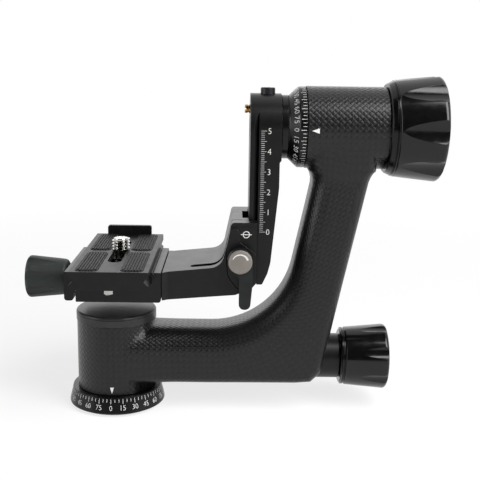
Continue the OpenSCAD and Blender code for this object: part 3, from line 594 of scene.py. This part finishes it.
# ---- pan lock -------------------------------------------------------------------------------
# A seven-lobed knob, moulded in glossy black plastic on a steel rod. Turning it drives the
# rod through the boss and presses the brass shoe on the brake drum.
def moulded(name, colour, warm, rough, strength, distance):
    """Moulded plastic: flow marks too faint to see but in a highlight, and soft edges."""
    made, tree, shader = new_finish(name, {"Specular IOR Level": 0.36})
    dress(tree, shader, clouds(tree, 0.009, 0, 1), (colour, warm),
          clouds(tree, 0.004, rough - 0.03, rough + 0.05), clouds(tree, 0.0009, 0, 1),
          strength, distance, 0.00035, 6)
    return made


def spun(name, outline, steps):
    """A solid turned about Z from an outline of radii and heights in mm, from axis to axis."""
    bpy.ops.object.select_all(action="DESELECT")
    bpy.ops.mesh.primitive_circle_add(vertices=len(outline), radius=1)
    made = bpy.context.object
    made.name = made.data.name = name
    for v, (radius, along) in zip(made.data.vertices, outline):
        v.co = (radius / 1000, 0, along / 1000)
    bpy.ops.object.mode_set(mode="EDIT")
    pick_edges(made, lambda edge: all(v.co.x < 1e-6 for v in edge.verts))
    bpy.ops.mesh.delete(type="EDGE")
    bpy.ops.mesh.select_all(action="SELECT")
    bpy.ops.mesh.spin(steps=steps, angle=2 * math.pi, center=(0, 0, 0), axis=(0, 0, 1))
    bpy.ops.mesh.select_all(action="SELECT")
    bpy.ops.mesh.remove_doubles(threshold=0.000005)
    bpy.ops.mesh.normals_make_consistent(inside=False)
    bpy.ops.object.mode_set(mode="OBJECT")
    return made


def cut_away(solid, cutter):
    """Cuts a shape out of a solid and removes the cutter."""
    bpy.ops.object.select_all(action="DESELECT")
    solid.select_set(True)
    bpy.context.view_layer.objects.active = solid
    cut = solid.modifiers.new("cut", "BOOLEAN")
    cut.operation, cut.object, cut.solver = "DIFFERENCE", cutter, "EXACT"
    bpy.ops.object.modifier_apply(modifier="cut")
    bpy.data.objects.remove(cutter)


def fluted(name, node, body, axis_height, hidden, start, end, rim, recess, flutes):
    """A knob on an X axis: a taper with a round rim, cut by flutes that run out up the taper.
    start is where the taper begins, its radius and lead-in, end where it ends and its radius,
    and flutes are their count, first angle, floor's radius and cutter's radius, all in mm."""
    (x0, r0, lead), (x1, r1) = start, end
    taper = math.atan2(r1 - r0, x1 - x0)
    middle = r1 - rim * (1 + math.sin(taper)) / math.cos(taper)
    arc = [-taper + i / 14 * (math.pi / 2 + taper) for i in range(15)]
    outline = hidden + [(r0 - lead, x0), (r0, x0 + lead)]
    outline += [(middle + rim * math.cos(t), x1 - rim + rim * math.sin(t)) for t in arc]
    knob = spun(name, outline + recess, 192)
    axis_z = axis_height / 1000
    knob.data.transform(Matrix.Translation((0, 0, axis_z)) @ Matrix.Rotation(math.pi / 2, 4, "Y"))
    count, phase, floor, cut = flutes
    cutter_length, cutter_middle = 0.03, x0 / 1000 + 0.0156
    for i in range(count):
        turn, far = math.radians(phase + i * 360 / count), (floor + cut) / 1000
        bpy.ops.object.select_all(action="DESELECT")
        bpy.ops.mesh.primitive_cylinder_add(
            vertices=160, radius=cut / 1000, depth=cutter_length, rotation=ALONG_X,
            location=(cutter_middle, -far * math.cos(turn), axis_z + far * math.sin(turn)))
        cut_away(knob, bpy.context.object)
    as_one(name, [knob], knob_black, body)
    bpy.ops.object.shade_smooth_by_angle(angle=math.radians(9))
    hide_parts(node)


knob_black = moulded("knob_gloss_black_moulded", "#070708", "#0c0c0d", 0.15, 0.02, 0.00001)
collar_black = anodised("collar_gloss_black_anodised", "#060607", "#0b0b0c", 0.15, 0.0003)
wear_to(["pan_knob_cap"], knob_black)
fluted("pan_knob_fluted", "pan_knob", "pan_lock", axis_height=26,
       hidden=[(0, 137), (4.02, 137), (4.02, 120.2)], start=(120.2, 15.25, 0.5),
       end=(142.6, 17.2), rim=2, recess=[(11.2, 142.6), (11.2, 141.3), (0, 141.3)],
       flutes=(7, 24.2, 15.865, 6.2))
wear_to(["pan_knob_collar"], collar_black)
ROD_AXIS = (0, 0, 0.0265), ALONG_X
wear_to(["pan_lock_rod"],
        turned_metal("rod_turned_steel", "#b4b5b7", "#9a9b9e", 0.28, 0.0002, *ROD_AXIS))
brass_shoe = turned_metal("shoe_brass_turned", "#c9a26b", "#b58f5a", 0.3, 0.0002, *ROD_AXIS)
wear_to(["brake_shoe"], brass_shoe)


# ---- tilt lock ------------------------------------------------------------------------------
# The large knob on the end of the tilt shaft, moulded like the small one, with an anodised
# collar. It presses the brass ring on the outer tilt bearing.
wear_to(["tilt_knob_cap"], knob_black)
fluted("tilt_knob_fluted", "tilt_knob", "tilt_lock", axis_height=TILT_MM,
       hidden=[(0, 152), (8, 152), (8, 140.8), (14.5, 140.8), (14.5, 152), (17.55, 152),
               (17.55, 140.4)],
       start=(140.4, 24.2, 0.4), end=(163.8, 26.9), rim=2.6,
       recess=[(19.2, 163.8), (19.2, 162.4), (0, 162.4)], flutes=(8, 1, 24.35, 11.5))
wear_to(["tilt_knob_collar"], collar_black)
wear_to(["thrust_ring"],
        turned_metal("thrust_ring_brass_turned", "#c9a26b", "#b58f5a", 0.3, 0.0002, *TILT_AXIS))


# ---- tilt shaft, dial and hub ---------------------------------------------------------------
# The turned steel shaft through the upper tube, the black dial on its inner end, and the neck
# that bolts the swing plate to it.
wear_to(["tilt_shaft"],
        turned_metal("shaft_turned_steel", "#b4b5b7", "#9a9b9e", 0.3, 0.0002, *TILT_AXIS))
tilt_black = anodised("tilt_dial_black_anodised_turned", "#070708", "#0d0d0e", 0.24,
                      lathe=(DIAL_FEED, *TILT_AXIS))
wear_to(["tilt_dial", "hub_neck"], tilt_black)
wear_to(["hub_screw", "shaft_screw"], screw_black)


# ---- degree marks on the tilt dial ----------------------------------------------------------
# The same marks as on the foot: ticks on the dial's rim and figures on its cone, which read
# downwards at the front.
def on_rim(turn):
    """Places on the dial's rim, at this many degrees above the front."""
    rim_x, rim_radius = 0.0957, 0.0202

    def where(across, up, proud):
        angle = math.radians(turn) + across / rim_radius
        radius = rim_radius + proud
        return (rim_x + up, -radius * math.cos(angle), TILT_Z - radius * math.sin(angle))
    return where


def on_cone(turn):
    """Places on the dial's cone, whose small end faces the swing plate."""
    end_x, end_radius, spread = 0.0879, 0.0161, 0.9048
    up_cone, out_of_cone, mark_x, mark_radius = 0.7415, 0.671, 0.0908, 0.0188

    def where(across, up, proud):
        angle = math.radians(turn) + across / mark_radius
        along = mark_x + up * up_cone
        radius = end_radius + (along - end_x) * spread + proud * up_cone
        return (along - proud * out_of_cone, -radius * math.cos(angle),
                TILT_Z - radius * math.sin(angle))
    return where


dial_marks = degree_marks((bar("dial_tick", 0.0018, 0.00018), -0.00095, on_rim),
                          (bar("dial_long_tick", 0.0027, 0.00018), -0.0014, on_rim),
                          (dial_figures("dial_figure", 0.0028), 0, on_cone))
as_one("tilt_degree_marks", dial_marks, white_ink, "cradle")


# ---- swing plate ----------------------------------------------------------------------------
# The upright dovetail rail that the hub carries, milled from aluminium bar and black anodised,
# with a brass stop screw near each end and a centimetre scale on the face towards -Y.
wear_to(["swing_plate"], body_black)
wear_to(["stop_screws"], turned_metal("stop_brass_turned", "#c9a26b", "#b58f5a", 0.3, 0.0002))
LINE, LONG_LINE, LINE_WIDTH = 0.0017, 0.0027, 0.00015
SCALE_X, FIGURE_X, SCALE_FACE, SCALE_FOOT = 0.0738, 0.0779, -0.01662, 0.0959


def on_plate(x, above_foot):
    """Places on the swing plate's printed face, from this point."""
    return lambda across, up, proud: (x + across, SCALE_FACE - proud, SCALE_FOOT + above_foot + up)


short_line = bar("scale_line", LINE, LINE_WIDTH)
long_line = bar("scale_long", LONG_LINE, LINE_WIDTH)
for line in (short_line, long_line):
    line.data.transform(Matrix.Rotation(math.pi / 2, 4, "Z"))
scale_marks = []
for step_mm in range(0, 51):
    shape, length = (long_line, LONG_LINE) if step_mm % 5 == 0 else (short_line, LINE)
    line = twin(shape)
    set_on(line, on_plate(SCALE_X + length / 2, step_mm / 1000))
    scale_marks.append(line)
for number in range(0, 6):
    figure = lettering("scale_figure", str(number), 0.0028, 0.95)
    set_on(figure, on_plate(FIGURE_X, number / 100))
    scale_marks.append(figure)
for obj in (short_line, long_line):
    bpy.data.objects.remove(obj)
as_one("height_scale", scale_marks, white_ink, "cradle")


# ---- carriage and its clamp -----------------------------------------------------------------
# The L bracket that slides on the rail, its screwed-on clamp body, and the loose jaw that a
# cam lever pulls on to the rail. All milled aluminium, black anodised; pins and stud are steel.
wear_to(["carriage", "clamp_body", "rail_jaw"], body_black)
wear_to(["clamp_bolts"], screw_black)
pin_steel = turned_metal("pins_ground_steel", "#c6c7c9", "#b2b3b6", 0.2, 0.00015,
                         (0, 0, 0), (math.pi / 2, 0, 0))
wear_to(["jaw_pins", "lever_stud"], pin_steel)
INDEX_X, JAW_FACE, INDEX_Z = 0.0672, -0.02271, 0.0957


def on_jaw(across, up, proud):
    """Places on the height jaw's face, about the middle of its index mark."""
    return (INDEX_X + across, JAW_FACE - proud, INDEX_Z + up)


bpy.ops.object.select_all(action="DESELECT")
bpy.ops.mesh.primitive_torus_add(major_radius=0.00155, minor_radius=0.0002,
                                 major_segments=40, minor_segments=8)
ring = bpy.context.object
ring.data.transform(Matrix.Diagonal((1, 1, 0.15, 1)))
line = bar("index_line", 0.0054, 0.00035)
line.data.transform(Matrix.Rotation(math.pi / 2, 4, "Z"))
for obj in (ring, line):
    set_on(obj, on_jaw)
as_one("index_mark", [ring, line], white_ink, "height_jaw")

lever_black = anodised("lever_black_anodised_smooth", "#101112", "#171819", 0.3, 0.0003)
wear_to(["cam_lever"], lever_black)
cap_grey = moulded("lever_cap_warm_grey_satin", "#6a645f", "#746e69", 0.42, 0.15, 0.00003)
wear_to(["lever_cap"], cap_grey)


# ---- turn mark on the lever's cap -----------------------------------------------------------
# A white arc round the middle of the lever's cap. It starts thin and thickens the way the
# lever turns to lock.
ARC, ARC_RADIUS, ARC_START, ARC_SWEEP = 0.0093, 0.00385, 156, 138
CAP_X, CAP_FACE, CAP_Z = 0.0643, -0.03302, 0.084


def on_lever_cap(across, up, proud):
    """Places on the cap's face, bent round its middle; the bar's upper end is the thin one."""
    share = 0.5 - up / ARC
    angle = math.radians(ARC_START - ARC_SWEEP * share)
    radius = ARC_RADIUS + across * (0.35 + 0.65 * share)
    return (CAP_X + radius * math.cos(angle), CAP_FACE - proud, CAP_Z + radius * math.sin(angle))


arc = bar("lever_arc", ARC, 0.0009, 24)
set_on(arc, on_lever_cap)
as_one("lever_turn_mark", [arc], white_ink, "lever")


# ---- plate clamp ----------------------------------------------------------------------------
# The jaw that slides on two ground rods in the carriage's arm, drawn in by a screw with a
# matt grey-green plastic knob.
wear_to(["movable_jaw"], body_black)
wear_to(["jaw_rods"], turned_metal("rods_ground_steel", "#c6c7c9", "#b2b3b6", 0.2, 0.00015,
                                   (0, 0, 0.0675), ALONG_X))
knob_green = moulded("clamp_knob_matt_grey_green", "#191e1c", "#1f2422", 0.5, 0.3, 0.00004)
wear_to(["qr_knob", "qr_knob_cap"], knob_green)
wear_to(["qr_screw"], screw_black)


# ---- plate ----------------------------------------------------------------------------------
# The dovetail plate that bolts to a lens foot: milled and black anodised, with moulded rubber
# pads let into its top, nickel stop screws, and a captive camera screw in its slot.
plate_black = anodised("plate_black_anodised", "#09090a", "#0f0f10", 0.42, 0.0003)
wear_to(["qr_plate"], plate_black)
# Moulded rubber: dead black and dull, so the ribs show by their shadows alone.
rubber, tree, shader = new_finish("pad_rubber_moulded", {"Specular IOR Level": 0.35})
dress(tree, shader, clouds(tree, 0.004, 0, 1), ("#0a0a0a", "#101010"),
      clouds(tree, 0.002, 0.55, 0.68), clouds(tree, 0.0003, 0, 1), 0.5, 0.00005)
wear_to(["rubber_pads"], rubber)
# Bright nickel: nearly a mirror, with a warm grey cast.
SCREW_X, SCREW_Y = 0.0019, 0.007
nickel = turned_metal("bright_nickel_plate", "#b9b8b4", "#a9a8a4", 0.13, 0.0002,
                      (SCREW_X, SCREW_Y, 0))
wear_to(["plate_stops", "screw_washer"], nickel)


# ---- camera screw ---------------------------------------------------------------------------
# A short 3/8 inch screw, nickel plated: a round slotted head below the plate, a relieved neck,
# and a cut thread of 1.5875 mm pitch with a hexagon socket in its end.
PITCH = 0.0015875
THREAD_START, THREAD_FOOT, THREAD_TIP = 0.0802, 0.0813, 0.0867
SOCKET_FLATS, SOCKET_MIDDLE, HEAD_FOOT = 0.0048, 0.0876, 0.0732
SLOT_LENGTH, SLOT_WIDTH, SLOT_DEPTH = 0.016, 0.0014, 0.0014
outline = [(0, 73.2), (6.4, 73.2), (7, 73.8), (7, 76), (6.6, 76.5), (3.15, 76.5), (3.15, 80.7),
           (3.75, 81.2), (3.79, 81.4), (3.79, 86.6), (3.6, 87.1), (0, 87.1)]
screw = spun("camera_screw_threaded", outline, 64)
bpy.ops.mesh.primitive_circle_add(vertices=4, radius=1)
thread = bpy.context.object
tooth = (3.7, -0.74), (4.68, -0.11), (4.68, 0.11), (3.7, 0.74)
for v, (radius, height_mm) in zip(thread.data.vertices, tooth):
    v.co = (radius / 1000, 0, height_mm / 1000 + THREAD_START)
turns = thread.modifiers.new("turns", "SCREW")
turns.axis, turns.angle, turns.screw_offset = "Z", 2 * math.pi, PITCH
turns.iterations, turns.steps, turns.render_steps = 5, 48, 48
bpy.ops.object.modifier_apply(modifier="turns")
bpy.ops.object.mode_set(mode="EDIT")
bpy.ops.mesh.select_all(action="SELECT")
bpy.ops.mesh.remove_doubles(threshold=0.000002)
pick_edges(thread, lambda edge: edge.is_boundary)
bpy.ops.mesh.edge_face_add()
bpy.ops.mesh.select_all(action="SELECT")
bpy.ops.mesh.bisect(plane_co=(0, 0, THREAD_FOOT), plane_no=(0, 0, 1), use_fill=True,
                    clear_inner=True)
bpy.ops.mesh.select_all(action="SELECT")
bpy.ops.mesh.bisect(plane_co=(0, 0, THREAD_TIP), plane_no=(0, 0, 1), use_fill=True,
                    clear_outer=True)
bpy.ops.mesh.select_all(action="SELECT")
bpy.ops.mesh.normals_make_consistent(inside=False)
bpy.ops.object.mode_set(mode="OBJECT")

bpy.ops.mesh.primitive_cylinder_add(
    vertices=6, radius=SOCKET_FLATS / 2 / math.cos(math.pi / 6), depth=0.01,
    location=(0, 0, SOCKET_MIDDLE))
socket = bpy.context.object
bpy.ops.mesh.primitive_cube_add(size=1, location=(0, 0, HEAD_FOOT))
slot = bpy.context.object
slot.data.transform(Matrix.Diagonal((SLOT_LENGTH, SLOT_WIDTH, 2 * SLOT_DEPTH, 1)))
for cutter in (socket, slot):
    cut_away(screw, cutter)
for obj in (screw, thread):
    obj.data.transform(Matrix.Translation((SCREW_X, SCREW_Y, 0)))
threaded = as_one("camera_screw_threaded", [screw, thread], nickel, "mount_screw")
bpy.ops.object.shade_smooth_by_angle(angle=math.radians(35))
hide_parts("camera_screw")
